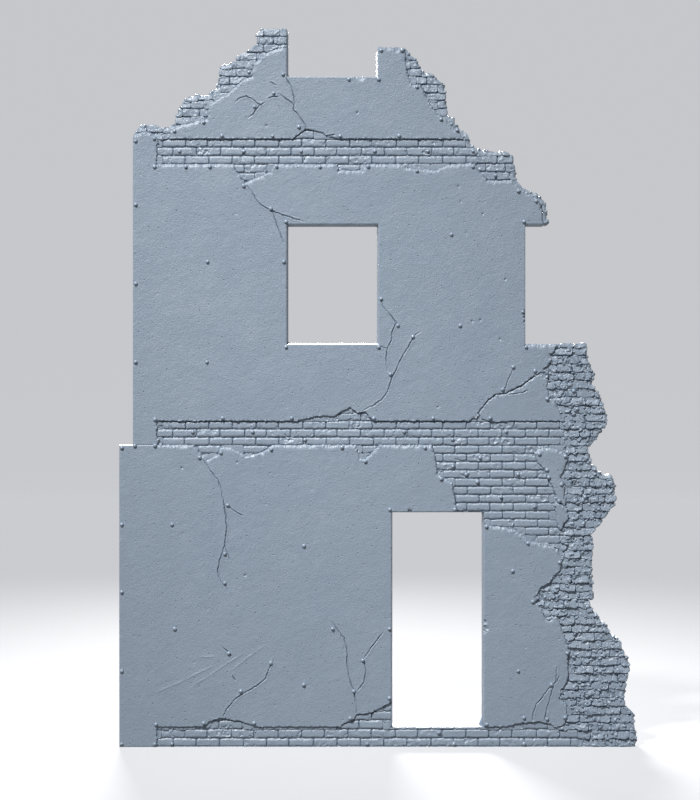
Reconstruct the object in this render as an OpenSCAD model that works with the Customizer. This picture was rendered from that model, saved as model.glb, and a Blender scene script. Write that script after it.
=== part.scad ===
// Miniature terrain ruin: the front wall of a broken two-storey house at 1:35 scale.
// X runs along the wall, Z is height, and the plastered face looks along -Y.
// The origin is on the base line, midway along the width and through the thickness.
// Outlines are drawn in the wall's own plane as [x, z] points and stood upright.

/* [Thickness] */
// Thickness of the masonry core, from its flat back to the mortar bed
core_t = 4.2; // [2.5:0.1:6]
// How far the brick faces stand out of the mortar bed
brick_t = 0.4; // [0.2:0.05:0.6]
// How far the plaster stands out of the mortar bed
plaster_t = 0.8; // [0.7:0.05:1.2]

/* [Brickwork] */
// Height of a course on the open wall, brick and joint
course_h = 2.29; // [2.1:0.01:2.4]
// Height of a course in the band over the upper window
top_course_h = 2.38; // [2.3:0.01:2.45]
// Height of the two courses along the base
base_course_h = 2.52; // [2.4:0.01:2.6]
// Length of a brick, with its joint
brick_l = 6.56; // [5:0.02:8]
// Mean length of a broken brick along the ragged edges, with its joint
stub_l = 4.6; // [3.5:0.1:6]
// Width of a mortar joint
joint_w = 0.3; // [0.15:0.05:0.5]

/* [Openings] */
// Left jamb of the door
door_x = 3.9; // [3:0.1:4.5]
// Width of the door
door_w = 25.8; // [25:0.1:26.2]
// Height of the door sill over the base
door_z = 5.5; // [5.2:0.1:6]
// Height of the door
door_h = 60.2; // [56:0.1:60.4]
// Left jamb of the upper window and of the notch over it
window_x = -25.4; // [-26:0.1:-25]
// Width of the window and of the notch over it
window_w = 25.6; // [25:0.1:26]
// Height of the window sill over the base
window_z = 112.6; // [112:0.1:113]
// Height of the window
window_h = 33.5; // [32:0.1:34]
// Height of the broken top window's sill over the base
notch_z = 187.4; // [187:0.1:188]
// Jamb of the half window at the right edge
alcove_x = 41.3; // [40.5:0.1:42]

/* [Moulding pips] */
// Radius of a moulding pip
pip_r = 0.55; // [0.3:0.05:0.6]
// Height of a moulding pip
pip_h = 0.45; // [0.2:0.05:0.6]

/* [Hidden] */

total_t = core_t + plaster_t + pip_h;
back_y = total_t / 2;
bed_y = back_y - core_t;
brick_y = bed_y - brick_t;
plaster_y = bed_y - plaster_t;
half_w = 72.2;
step_x = -68.4;
step_z = 84.4;
eaves_z = 170;
ledge_z = 91.1;
skirting_z = 5.6;
window_top = window_z + window_h;
plaster_left_x = -61.6;
flash_t = 0.5;
dome_facets = 24;

core_grey = [0.29, 0.34, 0.40];
brick_grey = [0.50, 0.57, 0.64];
end_grey = [0.42, 0.48, 0.55];
plaster_grey = [0.58, 0.64, 0.70];
pip_grey = [0.66, 0.72, 0.79];

// ---- Outlines ----

// Straight left flank, with the joint tab that widens the ground floor
flank = [[-half_w, 0], [-half_w, step_z], [step_x, step_z], [step_x, eaves_z]];

// Broken parapet left of the notch, from the left flank up to the notch's jamb
crest_left = [
    [-67, 173.5], [-65, 174.5], [-63, 174.2], [-61, 173.2], [-58, 173], [-56.5, 175.5], [-56, 177],
    [-54.5, 180], [-53, 182], [-47, 182.6], [-44.8, 184.5], [-44.2, 189], [-43.2, 191.5],
    [-42, 190.8], [-39.6, 191.8], [-38.5, 193.6], [-35, 195.2], [-34, 197], [-33.6, 199.8],
    [-32.5, 200.8], [-27.5, 201.3], [window_x, 201]
];

// Broken parapet right of the notch, down to the head of the half window
crest_right = [
    [0, 195.3], [1, 195.7], [7.5, 195.2], [10.5, 192.8], [11.8, 190], [13.6, 188], [15.5, 187.8],
    [18, 186], [19, 183], [19.3, 178], [20, 176.1], [21.4, 175.8], [22, 173.8], [24.8, 171.4],
    [25.4, 169.6], [27, 167.6], [28, 167.1], [35, 166.2], [38.3, 165], [38.4, 161.5], [38.8, 158],
    [40.5, 156.2], [45.5, 153.8], [46.8, 152.5], [47.2, 149], [47.8, window_top]
];

// Ragged right edge, from the half window's sill down to the base
edge_right = [
    [58, 112.5], [58.7, 111], [58.8, 109.3], [59.9, 105.5], [60.5, 103.7], [59.7, 101.8],
    [61, 99.8], [62, 98.2], [63, 96.5], [63.3, 94.2], [64.1, 92.6], [63.9, 90.3], [61.3, 86.8],
    [60.3, 85.2], [58.9, 84], [58.8, 82], [59.5, 81], [60, 78.5], [61, 77.8], [62.8, 76.1],
    [65.3, 75.6], [66.5, 73.5], [66.9, 69.5], [66.5, 67.2], [65, 66.6], [63.2, 63.2],
    [61.3, 61.8], [59.8, 59.2], [60.5, 56.5], [60, 53.8], [59.8, 50.5], [60.1, 48], [60, 38.4],
    [62.4, 35.3], [64.3, 33], [64.8, 31.8], [67, 30.2], [68.4, 29], [69, 26.3], [70.2, 24],
    [70.7, 22], [69.8, 19.3], [69.2, 16], [69, 13], [70.2, 10.4], [71.8, 8.8], [71.8, 5.2],
    [half_w, 3.8], [half_w, 0.8], [71.4, 0]
];

// The same three stretches of the core, set back behind the broken brick ends
core_left = [
    [-66, 172.2], [-57.5, 171.8], [-55, 174.5], [-52.8, 180], [-46.5, 181], [-43.2, 185],
    [-42.6, 189.3], [-38, 190.6], [-36.5, 193], [-33, 195], [-32, 199.6], [window_x, 199.8]
];
core_right = [
    [0, 194.6], [6.8, 194.2], [9.2, 191.8], [10.5, 189.2], [12.4, 186.8], [15, 186.3],
    [17, 184.5], [17.8, 177], [20.6, 173.2], [23.6, 170.4], [24.4, 168.3], [26.3, 166.2],
    [36.8, 164.4], [37.2, 157.6], [39.6, 154.9], [45, 152.4], [45.9, 148.8], [46.4, window_top]
];
core_edge = [
    [57, 112.5], [57.4, 109], [58.6, 104.6], [58.2, 101.5], [60.5, 97.5], [62, 93.5],
    [62.3, 90.5], [59, 85.8], [57.4, 83], [58.6, 77.6], [61.5, 75], [64.6, 74], [65.3, 69],
    [63.5, 65.6], [61.5, 63], [58.3, 59.2], [58.9, 56.4], [58.4, 50], [58.5, 38.2],
    [62.6, 32.4], [66.5, 28.6], [69, 22.4], [67.8, 16.5], [67.6, 12.6], [70.4, 8.2], [70.8, 0]
];

// Edges of the plaster where it has broken away from the brickwork. Each list runs past the
// wall's outline or an opening where the plaster reaches it.
parapet_skin = [
    [-61, 170], [-58, 170.2], [-58, 172.2], [-56.6, 173.4], [-50, 175.1], [-47.6, 175.4],
    [-47.2, 179.8], [-44.5, 181.4], [-41.8, 182.7], [-39.5, 184.8], [-38, 186.2], [-35, 187.6],
    [-34.9, 191.2], [-33.2, 192], [-30.5, 194.4], [-28, 195.3], [-24, 195.8],
    [-24, notch_z + 1], [-2, notch_z + 1], [-2, 196], [7.6, 196], [7.9, 191.5], [8.5, 188],
    [9.6, 185.2], [12, 185.2], [13.2, 182.8], [15.5, 178.7], [16.6, 177.4], [19.2, 175.4],
    [20.8, 173.4], [23, 171.8], [24, eaves_z], [-10.5, eaves_z], [-14.5, 170.8],
    [-15.4, 171.8], [-20, 172.8], [-23.6, eaves_z], [-58, eaves_z]
];
first_floor_skin = [
    [-69, step_z], [-69, 170.6], [-67.4, 171.3], [-65, 172.2], [-63.2, 171.4],
    [plaster_left_x, eaves_z], [plaster_left_x, 162.9], [-40.3, 162.9], [-39.4, 161],
    [-37, 157.6], [-34, 159.2], [-30, 160.8], [-28.6, 162.9], [-11.2, 162.9], [-10.8, 161.2],
    [-4.5, 161.2], [-3.2, 162.9], [6.5, 162.9], [8, 162], [16, 161.3], [20.8, 162.9],
    [27.2, 163.2], [28.3, 161.2], [30.8, 158.4], [37.4, 158.4], [39.3, 156.6], [42.4, 154.7],
    [45.4, 153], [46.1, 149], [46.7, window_top - 1], [alcove_x + 1, window_top - 1],
    [alcove_x + 1, window_z + 1], [50.4, window_z + 1], [49.6, 111],
    [48.3, 109.8], [48.7, 108.4], [47.6, 106.6], [45, 104.6], [42.8, 103.3], [40.2, 101.3],
    [36, 99.2], [33, 98.8], [30.6, 97], [28, 93.6], [28.4, 92.8], [25.5, ledge_z],
    [-1.2, ledge_z], [-3.5, 93.6], [-5.6, 93.4], [-7.7, 94.8], [-10, 93.8], [-12, 92.4],
    [-17, 92.4], [-22.5, ledge_z], [plaster_left_x, ledge_z], [plaster_left_x, step_z]
];
loose_slab = [
    [28.3, 93.2], [30.9, 96.6], [33.2, 98.3], [36.2, 98.7], [40.4, 100.8], [43, 102.8],
    [45.2, 104.2], [47.8, 103], [47.6, 100.5], [48, 97.6], [49.4, 96.9], [50.5, 95],
    [51.3, 93.2], [52, ledge_z], [37, ledge_z], [33, 90.7], [30, 91.4]
];
ground_left_skin = [
    [-73, -1], [-73, step_z], [-51.3, step_z], [-49.7, 82.4], [-47.7, 80.2], [-44.8, 81.6],
    [-44, 83.7], [-41.5, 83.9], [-39.2, 82.9], [-36.6, 81.3], [-32.6, 82.3], [-30.5, 83.5],
    [-29.4, step_z],
    [-6, step_z], [-4.9, 80.8], [-3.2, 80.6], [0.4, step_z], [15.2, step_z], [16.1, 81.6],
    [16.8, 76.6], [18.6, 75.2], [21, 74], [21.6, 70], [22.5, 65], [5, 65], [5, 13.2],
    [0.7, 10.8], [-1.3, 9.7], [-5.7, 9], [-7, 7.4], [-9.2, 6.6], [-10.6, skirting_z], [-34, skirting_z],
    [-37.7, 7], [-40.7, 7.4], [-44.1, 8], [-47, 7.1], [-48.6, skirting_z], [plaster_left_x, skirting_z],
    [plaster_left_x, -1]
];
ground_right_skin = [
    [29, 62.8], [31.5, 61.8], [35.7, 61.4], [38.5, 60.6], [40.5, 59.2], [42.1, 57.8],
    [44.7, 56.8], [48.3, 56.4], [50.5, 55.4], [51.7, 52.2], [51.1, 49.4], [49.1, 47.5],
    [48, 45.8], [45.8, 44.7], [44.1, 41.9], [44.4, 40.2], [45.8, 39.1], [46.9, 36],
    [48.3, 35.5], [50, 36.8], [51.1, 34.9], [53.3, 28.4], [53.8, 26.6], [53.1, 24.6],
    [53.5, 20.6], [53.1, 18.4], [51.4, 15.8], [51, 13.6], [52.8, 12], [53.2, 8], [52, 6],
    [49.4, 5.4], [48.2, 6.5], [45, 7.1], [41, 6.7], [38, 6.3], [36, skirting_z],
    [29, skirting_z]
];
island_upper = [
    [43.8, 82.2], [44.6, 79.6], [46.6, 78], [47.3, 75.5], [48.9, 72.8], [50.4, 69],
    [52.4, 67.3], [52.1, 70], [52.6, 72.6], [51.3, 75.5], [52.4, 78], [53.5, 81.2],
    [51.5, 82.8], [48.5, 83.6], [45.4, 83.4]
];
island_lower = [
    [49.7, 66.5], [50.1, 68.2], [51.2, 67.9], [52.4, 67], [53.4, 65.2], [53.4, 63.6],
    [52.2, 62.7], [51.5, 61], [50.9, 60.2], [50.3, 62.2], [50, 64.5]
];

// Areas of the wall that each group of exposed bricks may fill, wherever no plaster lies
zone_band_top = [
    [plaster_left_x, 157], [28, 157], [28, eaves_z], [-9, eaves_z], [-9, 174], [-25, 174],
    [-25, eaves_z], [plaster_left_x, eaves_z]
];
zone_parapet_left = [[-70, eaves_z], [-26, eaves_z], [-26, 174], [-24, 174], [-24, 203], [-70, 203]];
zone_parapet_right = [[6, eaves_z], [30, eaves_z], [30, 197], [-3, 197], [-3, 194.6], [6, 194.6]];
zone_shoulder = [[28, 145], [50, 145], [50, 168], [28, 168]];
zone_band_middle = [
    [plaster_left_x, 79], [14, 79], [14, step_z], [52.2, step_z], [52.2, 95],
    [plaster_left_x, 95]
];
zone_patch = [[14, step_z], [52.2, step_z], [52.2, 60], [51, 60], [51, 52], [28, 52], [14, 65]];
zone_edge_upper = [[44, 114], [70, 114], [70, ledge_z], [52.2, ledge_z], [44, 95]];
zone_edge_middle = [[52.2, ledge_z], [70, ledge_z], [70, 57], [51, 57], [51, 60], [52.2, 60]];
zone_edge_lower = [[43, 57], [75, 57], [75, -1], [56, -1], [56, 5.1], [50, 5.1], [50, 8.2], [43, 8.2]];
zone_band_base = [
    [plaster_left_x, -1], [56, -1], [56, 5.1], [50, 5.1], [50, 8.2], [29, 8.2], [29, 13],
    [plaster_left_x, 13]
];

// Places of the moulding pips, row by row: [height, [places along the wall]]
parapet_pips = [
    [194.7, [1, 6.8]], [188, [-26.4]], [186.6, [-8, 0.3]], [182.7, [-29]], [179, [-34.4]],
    [184.5, [11]], [175.5, [17.8]], [174.6, [-48.6]], [173.3, [-22]], [172.4, [22.2]],
    [172.2, [-56.8]], [170.8, [-43.5, -29.3, -10.5, 6]]
];
parapet_brick_pips = [[188.6, [-36]], [166.6, [-55.4, -37.4, -21.4, -0.8, 14.1, 26.6]]];
first_floor_pips = [
    [170, [-62.4]], [169.4, [-67.6]], [162.2, [-62.3, -53.6, -46.9, -28.2, -16.1, -2.6, 26.6]],
    [161, [11]], [156.8, [-37.4]], [155.4, [39.4]], [152.6, [44.4]], [151.6, [-67.6]],
    [150.5, [-29.8]], [146.8, [-25.6, 40.9]], [143.2, [20.6]], [135.6, [-47.5, -26.2]],
    [129.5, [-67.6]], [125.3, [1]], [121.6, [40.6]], [117.8, [5.7, 23.1]], [114.7, [9.9]],
    [111.8, [-25.6, 0.3, 41.5]], [107.6, [-67.6, -47.7]], [106.2, [37.9]], [105.1, [44]],
    [104.2, [3.5]], [99.9, [34.9]], [97.3, [47.4]], [91.9, [-43.3, -24, -1, 15.5, 31.5]],
    [91.6, [-62.2]]
];
first_floor_brick_pips = [
    [159.8, [33]], [99.5, [54.9]], [94.5, [55.8]], [88.1, [-51.7, -34.9, 7.4, 36]],
    [85.9, [-20.3, 20.9]]
];
ground_floor_pips = [
    [84.2, [-67.8, -62.2]], [83.7, [-71.5, -9.9, 13.3]], [83.2, [-29.7]], [82.3, [-43.8]],
    [81.9, [45.2]], [81.2, [52.5]], [80.9, [-49.8]], [79.9, [-3.4]], [77.4, [47.4]],
    [75.4, [47.9]], [74.9, [17.8]], [73.4, [51.4]], [68.8, [50.8]], [67.6, [-41.9]],
    [66.4, [3.4, 21.6]], [62.2, [-71.5, -57.5]], [61.6, [30.4]], [57, [42]], [56.2, [-20.6]],
    [54, [-42.7]], [51.6, [50.9]], [49.2, [37.8]], [45.8, [-42.7]], [43.3, [-71.5]],
    [40.6, [43.4]], [33, [-56.7, -12.5, 3.3]], [26.2, [-41.6, 53]], [24.2, [-4.1]],
    [23.5, [-29.8]], [21.2, [-71.5, 39.3]], [17.4, [-20.6, 48.6]], [15.6, [-38.2, -6.6]],
    [13.7, [3.3]], [8.2, [41, 52.4]], [8, [-7.6]], [7.8, [47.4]], [6.7, [-48.6, -34.5]],
    [6.3, [-61.9, 30.5]], [0.8, [-71.5, -62.3]]
];
ground_floor_brick_pips = [
    [80.8, [28.7]], [78.4, [21]], [76.2, [24.8, 39.3]], [74.1, [27.9]], [69.9, [34.6, 58]],
    [67.1, [43.8]], [37.2, [50.2]], [3.9, [17.2]], [0.8, [-57.5, -2.9, 21.4, 41]]
];

// ---- Helpers ----

// Stands a drawing upright with its rear face on the plane y = rear
module upright(rear, thickness) {
    translate([0, rear, 0]) rotate([90, 0, 0]) linear_extrude(thickness) children();
}

module openings() {
    translate([door_x, door_z]) square([door_w, door_h]);
    translate([window_x, window_z]) square([window_w, window_h]);
}

// Outline of a wall whose broken stretches are the three lists given
module wall_shape(left, right, edge) {
    difference() {
        polygon(concat(
            flank, left, [[window_x, notch_z], [0, notch_z]], right,
            [[alcove_x, window_top], [alcove_x, window_z]], edge
        ));
        openings();
    }
}

module wall() { wall_shape(crest_left, crest_right, edge_right); }

module core_shape() { wall_shape(core_left, core_right, core_edge); }

module skin(outline) {
    color(plaster_grey) upright(bed_y, plaster_t)
        intersection() { wall(); polygon(outline); }
}

module all_plaster() {
    for (outline = [parapet_skin, first_floor_skin, loose_slab, ground_left_skin,
                    ground_right_skin, island_upper, island_lower])
        polygon(outline);
}

// Courses of bricks upward from z. Odd courses are shifted by half a brick. shake is how far
// each upright joint may stray from its regular place.
module courses(x, z, count, bricks, height, length, shake) {
    for (row = [0 : count - 1]) {
        stray = rands(-shake, shake, bricks + 1, 17 * row + bricks);
        start = x + (row % 2) * length / 2;
        joints = [for (i = [0 : bricks]) start + i * length + stray[i]];
        for (i = [0 : bricks - 1])
            translate([joints[i], z + row * height])
                square([joints[i + 1] - joints[i] - joint_w, height - joint_w]);
    }
}

// Faces of the bricks that show in a zone. The children lay the courses.
module face_bricks(zone) {
    color(brick_grey) upright(bed_y, brick_t) difference() {
        intersection() { wall(); polygon(zone); children(); }
        all_plaster();
    }
}

// Broken brick ends in a zone, full depth, standing out past the edge of the core
module end_bricks(zone) {
    color(end_grey) upright(back_y, core_t) difference() {
        intersection() { wall(); polygon(zone); children(); }
        core_shape();
    }
}

module pip() {
    rotate([90, 0, 0]) rotate_extrude($fn = dome_facets)
        polygon([[0, 0], [pip_r, 0], [pip_r * 0.85, pip_h * 0.6], [pip_r * 0.45, pip_h * 0.93],
                 [0, pip_h]]);
}

module pips(rows, seat_y) {
    color(pip_grey)
        for (row = rows, x = row[1]) translate([x, seat_y, row[0]]) pip();
}

// ---- Sub-parts ----

module masonry_core() { color(core_grey) upright(back_y, core_t) core_shape(); }

module laid_band_top() { courses(-70.1, 155.9, 8, 16, top_course_h, brick_l, 0.25); }
module laid_parapet_left() { courses(-71, 169.6, 15, 11, course_h * 0.98, stub_l, 0.8); }
module laid_parapet_right() { courses(-6, 169.6, 13, 8, course_h * 0.98, stub_l, 0.8); }
module laid_shoulder() { courses(24, 144.9, 10, 6, course_h, stub_l, 0.8); }
module laid_edge_upper() { courses(40, 90.9, 10, 8, course_h * 1.02, stub_l, 1.2); }
module laid_edge_middle() { courses(44, 56.9, 15, 7, course_h, stub_l, 1.2); }
module laid_edge_lower() { courses(40, 0, 25, 9, course_h, stub_l, 1.2); }

module bricks_band_top() { face_bricks(zone_band_top) laid_band_top(); }
module bricks_band_middle() {
    face_bricks(zone_band_middle) courses(-66.7, 79.8, 7, 19, course_h, brick_l, 0.25);
}
module bricks_band_base() {
    face_bricks(zone_band_base) courses(-70.3, 0, 5, 20, base_course_h, brick_l, 0.25);
}
module bricks_patch() {
    face_bricks(zone_patch) courses(8.8, 54.6, 13, 8, course_h, brick_l, 0.15);
}
module bricks_parapet_left() { face_bricks(zone_parapet_left) laid_parapet_left(); }
module bricks_parapet_right() { face_bricks(zone_parapet_right) laid_parapet_right(); }
module bricks_shoulder() { face_bricks(zone_shoulder) laid_shoulder(); }
module bricks_edge_upper() { face_bricks(zone_edge_upper) laid_edge_upper(); }
module bricks_edge_middle() { face_bricks(zone_edge_middle) laid_edge_middle(); }
module bricks_edge_lower() { face_bricks(zone_edge_lower) laid_edge_lower(); }

module ends_parapet_left() { end_bricks(zone_parapet_left) laid_parapet_left(); }
module ends_parapet_right() { end_bricks(zone_parapet_right) laid_parapet_right(); }
module ends_shoulder() {
    end_bricks(zone_band_top) laid_band_top();
    end_bricks(zone_shoulder) laid_shoulder();
}
module ends_upper() { end_bricks(zone_edge_upper) laid_edge_upper(); }
module ends_middle() { end_bricks(zone_edge_middle) laid_edge_middle(); }
module ends_lower() { end_bricks(zone_edge_lower) laid_edge_lower(); }

module plaster_parapet() { skin(parapet_skin); }
module plaster_first_floor() { skin(first_floor_skin); }
module plaster_loose_slab() { skin(loose_slab); }
module plaster_ground_left() { skin(ground_left_skin); }
module plaster_ground_right() { skin(ground_right_skin); }
module plaster_island_upper() { skin(island_upper); }
module plaster_island_lower() { skin(island_lower); }

module pips_parapet() {
    pips(parapet_pips, plaster_y);
    pips(parapet_brick_pips, brick_y);
}
module pips_first_floor() {
    pips(first_floor_pips, plaster_y);
    pips(first_floor_brick_pips, brick_y);
}
module pips_ground_floor() {
    pips(ground_floor_pips, plaster_y);
    pips(ground_floor_brick_pips, brick_y);
}

// Thin triangular webs left in the corners of the door, the window and the notch
module web(x, z, width, height) {
    color(pip_grey) upright(back_y - core_t / 4, flash_t)
        translate([x, z]) polygon([[0, 0], [width, 0], [0, height]]);
}
module corner_flash() {
    web(door_x + door_w, door_z, -1.4, 3.4);
    web(window_x, window_z, 0.9, 1.6);
    web(window_x, notch_z, 0.9, 1.8);
}

masonry_core();
bricks_band_top();
bricks_band_middle();
bricks_band_base();
bricks_patch();
bricks_parapet_left();
bricks_parapet_right();
bricks_shoulder();
bricks_edge_upper();
bricks_edge_middle();
bricks_edge_lower();
ends_parapet_left();
ends_parapet_right();
ends_shoulder();
ends_upper();
ends_middle();
ends_lower();
plaster_parapet();
plaster_first_floor();
plaster_loose_slab();
plaster_ground_left();
plaster_ground_right();
plaster_island_upper();
plaster_island_lower();
pips_parapet();
pips_first_floor();
pips_ground_floor();
corner_flash();
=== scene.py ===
"""Looks for the miniature terrain ruin.

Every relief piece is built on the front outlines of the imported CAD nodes, so it lies where the
CAD says. Shapes are worked out in millimetres on the wall's own plane (x, z), as heights over
the mortar bed, and turned into metres when a mesh is made.
"""

import math
from types import SimpleNamespace

import bpy
import numpy as np
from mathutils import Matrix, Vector
from mathutils.geometry import delaunay_2d_cdt
from mathutils.kdtree import KDTree


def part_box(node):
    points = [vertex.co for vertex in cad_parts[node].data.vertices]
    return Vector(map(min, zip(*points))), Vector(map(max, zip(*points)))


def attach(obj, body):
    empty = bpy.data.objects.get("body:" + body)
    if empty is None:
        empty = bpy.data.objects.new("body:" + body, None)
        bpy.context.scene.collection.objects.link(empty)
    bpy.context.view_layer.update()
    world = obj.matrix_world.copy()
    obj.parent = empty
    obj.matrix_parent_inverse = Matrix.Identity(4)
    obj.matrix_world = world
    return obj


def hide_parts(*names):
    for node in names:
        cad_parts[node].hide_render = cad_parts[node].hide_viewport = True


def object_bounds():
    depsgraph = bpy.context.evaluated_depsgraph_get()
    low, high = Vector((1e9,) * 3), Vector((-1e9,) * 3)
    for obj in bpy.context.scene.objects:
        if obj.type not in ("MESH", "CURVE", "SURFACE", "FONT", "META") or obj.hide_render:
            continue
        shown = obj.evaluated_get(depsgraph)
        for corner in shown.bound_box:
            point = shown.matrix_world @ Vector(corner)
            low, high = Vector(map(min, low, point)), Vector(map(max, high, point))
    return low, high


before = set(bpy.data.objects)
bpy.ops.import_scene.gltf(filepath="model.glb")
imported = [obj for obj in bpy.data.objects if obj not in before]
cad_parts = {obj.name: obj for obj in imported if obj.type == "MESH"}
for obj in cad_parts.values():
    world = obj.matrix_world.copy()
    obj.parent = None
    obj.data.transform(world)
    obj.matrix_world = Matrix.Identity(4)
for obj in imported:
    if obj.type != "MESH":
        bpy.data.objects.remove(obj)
CAD_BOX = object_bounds()
MM = 0.001


# ---- Reading the frame ----

def level(node):
    """Height of a node's front face along Y, in mm."""
    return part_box(node)[0].y / MM


BED = level("masonry_core")
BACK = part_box("masonry_core")[1].y / MM
BRICK = BED - level("bricks_patch")
PLASTER = BED - level("plaster_parapet")
DEPTH = BACK - BED


def welded(node):
    """A CAD node's vertices in mm and its triangles, with equal vertices made one."""
    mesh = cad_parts[node].data
    mesh.calc_loop_triangles()
    points = np.empty(len(mesh.vertices) * 3)
    mesh.vertices.foreach_get("co", points)
    corners = np.empty(len(mesh.loop_triangles) * 3, int)
    mesh.loop_triangles.foreach_get("vertices", corners)
    points, index = np.unique(np.round(points.reshape(-1, 3) / MM, 3), axis=0, return_inverse=True)
    return points, index.reshape(-1)[corners].reshape(-1, 3)


def groups(count, triangles):
    """A label for each vertex that is the same on all vertices joined by triangles."""
    label = np.arange(count)
    while True:
        low = label[triangles].min(axis=1)
        new = label.copy()
        for side in range(3):
            np.minimum.at(new, triangles[:, side], low)
        if (new == label).all():
            return label
        label = new


def without_straight_points(loop):
    """The loop without the points that lie on a straight stretch."""
    before, after = loop - np.roll(loop, 1, axis=0), np.roll(loop, -1, axis=0) - loop
    turn = before[:, 0] * after[:, 1] - before[:, 1] * after[:, 0]
    return loop[np.abs(turn) > 1e-3 * np.linalg.norm(before, axis=1) * np.linalg.norm(after, axis=1)]


def outlines(node):
    """For each solid of a node, the loops round its front face, the outer one first."""
    points, triangles = welded(node)
    front = triangles[(points[triangles][:, :, 1] < points[:, 1].min() + 0.01).all(axis=1)]
    label = groups(len(points), front)
    edges = {(a, b) for t in front for a, b in ((t[0], t[1]), (t[1], t[2]), (t[2], t[0]))}
    onward = {a: b for a, b in edges if (b, a) not in edges}
    solids = {}
    while onward:
        start, here = onward.popitem()
        loop = [start]
        while here != start:
            loop.append(here)
            here = onward.pop(here)
        flat = without_straight_points(points[loop][:, [0, 2]])
        solids.setdefault(label[start], []).append(flat)
    return [sorted(loops, key=lambda loop: -abs(area(loop))) for _, loops in sorted(solids.items())]


# ---- Plane geometry ----

def area(loop):
    """Signed area of a loop, positive where it runs anticlockwise."""
    x, z = loop[:, 0], loop[:, 1]
    return 0.5 * np.sum(x * np.roll(z, -1) - np.roll(x, -1) * z)


def sides(loops):
    """Starts and ends of all the sides of closed loops."""
    return (np.concatenate(loops), np.concatenate([np.roll(loop, -1, axis=0) for loop in loops]))


def dots(points):
    """Points as segments of hardly any length, for nearest()."""
    return points, points + 1e-6


def nearest(points, segments):
    """Distance from each point to the nearest segment, and which segment that is. Where there are
    many segments they are all short, so each point is measured to the few whose middles are
    nearest."""
    starts, ends = segments
    run = ends - starts
    squared = np.maximum((run ** 2).sum(axis=1), 1e-12)
    many, few = 400, 4
    if len(starts) > many:
        tree = KDTree(len(starts))
        for index, (x, z) in enumerate((starts + ends) / 2):
            tree.insert((x, z, 0), index)
        tree.balance()
        found = [[hit[1] for hit in tree.find_n((x, z, 0), few)] for x, z in points]
        close = np.array(found, int).reshape(-1, few)
    else:
        close = np.arange(len(starts))[None]
    distance, which = np.empty(len(points)), np.empty(len(points), int)
    chunk = max(1, 2000000 // close.shape[1])
    for first in range(0, len(points), chunk):
        part = points[first:first + chunk]
        index = close[first:first + chunk] if len(starts) > many else close
        away = part[:, None] - starts[index]
        along = np.clip((away * run[index]).sum(axis=2) / squared[index], 0, 1)
        gap = ((away - along[:, :, None] * run[index]) ** 2).sum(axis=2)
        best = gap.argmin(axis=1)
        rows = np.arange(len(part))
        which[first:first + chunk] = np.broadcast_to(index, gap.shape)[rows, best]
        distance[first:first + chunk] = np.sqrt(gap[rows, best])
    return distance, which


def inside(points, loops):
    """Which points lie inside any of the loops. Holes run clockwise."""
    starts, ends = sides(loops)
    x, z = points[:, 0][:, None], points[:, 1][:, None]
    up = (starts[:, 1] <= z) & (ends[:, 1] > z)
    down = (starts[:, 1] > z) & (ends[:, 1] <= z)
    rise = np.where(ends[:, 1] == starts[:, 1], 1e-9, ends[:, 1] - starts[:, 1])
    crossing = starts[:, 0] + (z - starts[:, 1]) / rise * (ends[:, 0] - starts[:, 0])
    return ((up & (x < crossing)).sum(axis=1) - (down & (x < crossing)).sum(axis=1)) != 0


def divided(loop, step):
    """The loop with its sides cut into equal lengths of about step."""
    out = []
    for a, b in zip(loop, np.roll(loop, -1, axis=0)):
        count = max(1, int(round(np.linalg.norm(b - a) / step)))
        out.extend(a + (b - a) * i / count for i in range(count))
    return np.array(out)


def outward(loop):
    """Unit normals that point away from the solid, for a loop with the solid on its left."""
    run = np.roll(loop, -1, axis=0) - np.roll(loop, 1, axis=0)
    run /= np.maximum(np.linalg.norm(run, axis=1), 1e-9)[:, None]
    return np.stack([run[:, 1], -run[:, 0]], axis=1)


def hexagonal(low, high, spacing):
    """Points of a triangular lattice in a box, each nudged a little off its place."""
    rows = np.arange(low[1], high[1], spacing * math.sqrt(0.75))
    columns = np.arange(low[0], high[0] + spacing, spacing)
    x, z = np.meshgrid(columns, rows)
    x = x + (np.arange(len(rows)) % 2)[:, None] * spacing / 2
    points = np.stack([x.ravel(), z.ravel()], axis=1)
    return points + np.random.RandomState(3).uniform(-0.12, 0.12, points.shape) * spacing


def gradients(cell):
    """A unit vector for each cell of a grid, always the same one for the same cell."""
    mixed = (cell[:, 0] * 73856093) ^ (cell[:, 1] * 19349663)
    mixed = (mixed ^ (mixed >> 13)) * 60493
    angle = ((mixed ^ (mixed >> 16)) & 0xFFFF) * (2 * math.pi / 0x10000)
    return np.stack([np.cos(angle), np.sin(angle)], axis=1)


def roughly(points, size, octaves=2, seed=0.0):
    """Smooth noise at points, about -1 to 1. size is the size of its largest features in mm."""
    total = np.zeros(len(points))
    weight, height = 0.0, 1.0
    for octave in range(octaves):
        spots = points * 2 ** octave / size + (seed * 12.9 + octave * 5.3, seed * 78.2)
        cell = np.floor(spots).astype(np.int64)
        part = spots - cell
        fade = part ** 3 * (part * (part * 6 - 15) + 10)
        for corner in ((0, 0), (1, 0), (0, 1), (1, 1)):
            near = np.where(np.array(corner) == 1, fade, 1 - fade).prod(axis=1)
            slope = (gradients(cell + corner) * (part - corner)).sum(axis=1)
            total += height * near * slope
        weight += height
        height /= 2
    return total * 1.9 / weight


def ramp(value, low, high):
    """0 below low, 1 above high, and smooth in between."""
    t = np.clip((value - low) / (high - low), 0, 1)
    return t * t * (3 - 2 * t)


# ---- The wall's own outline ----

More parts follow.
